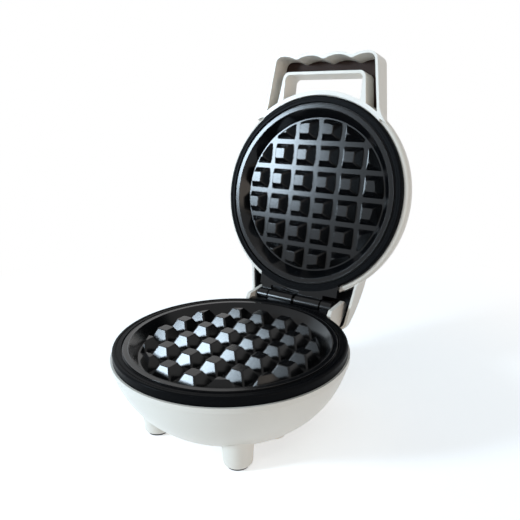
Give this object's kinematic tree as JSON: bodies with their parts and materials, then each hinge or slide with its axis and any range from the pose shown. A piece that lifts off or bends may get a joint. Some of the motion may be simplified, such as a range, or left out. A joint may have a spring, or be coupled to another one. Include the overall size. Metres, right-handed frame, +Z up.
{
  "type": "mini waffle maker",
  "caption": "Small round electric waffle maker: a bowl-shaped base on short feet and a hinged lid with a loop handle, shown open.",
  "frame": {"origin": "on the table under the middle of the base bowl", "axes": "+Z up, +Y towards the hinge, X along the hinge axis"},
  "size_m": [0.1252, 0.1747, 0.1951],
  "materials": {
    "shell": "smooth off-white, moderate gloss",
    "plate": "black non-stick coating, satin gloss",
    "rubber": "matte",
    "steel": "plain",
    "bright_metal": "rolled sheet",
    "dark_plastic": "matte",
    "brown_plastic": "dark brown, matte",
    "pale_plastic": "matte",
    "lead": "silicone sleeve",
    "lens": "amber-red, glossy",
    "lamp": "clear glow lamp"
  },
  "bodies": {
    "base": {"base_shell": "shell", "foot_pads": "rubber", "bottom_cover": "shell", "bottom_cover_screws": "steel", "lower_plate": "plate", "lower_plate_screws": "steel", "lower_heating_element": "steel", "lower_heater_clamp": "bright_metal", "lower_clamp_screws": "steel", "lower_reflector": "bright_metal", "thermostat": "dark_plastic", "thermal_fuse": "dark_plastic", "fuse_clip": "steel", "terminal_block": "pale_plastic", "cord_bush": "rubber", "cord_clamp": "dark_plastic", "cord_clamp_screws": "steel", "base_leads": "lead", "hinge_pin": "steel", "hinge_pin_caps": "shell"},
    "lid": {"lid_shell": "shell", "handle_liner": "brown_plastic", "tail_liner": "dark_plastic", "upper_plate": "plate", "upper_heating_element": "steel", "upper_heater_clamp": "bright_metal", "upper_clamp_screws": "steel", "upper_reflector": "bright_metal", "indicator_lens": "lens", "indicator_lamp": "lamp", "lamp_holder": "dark_plastic"}
  },
  "joints": [
    {"name": "lid_hinge", "type": "hinge", "parent": "base", "child": "lid", "pos_m": [0, 0.0662, 0.0483], "axis": [1, 0, 0], "range_deg": [0, 102.1]}
  ]
}
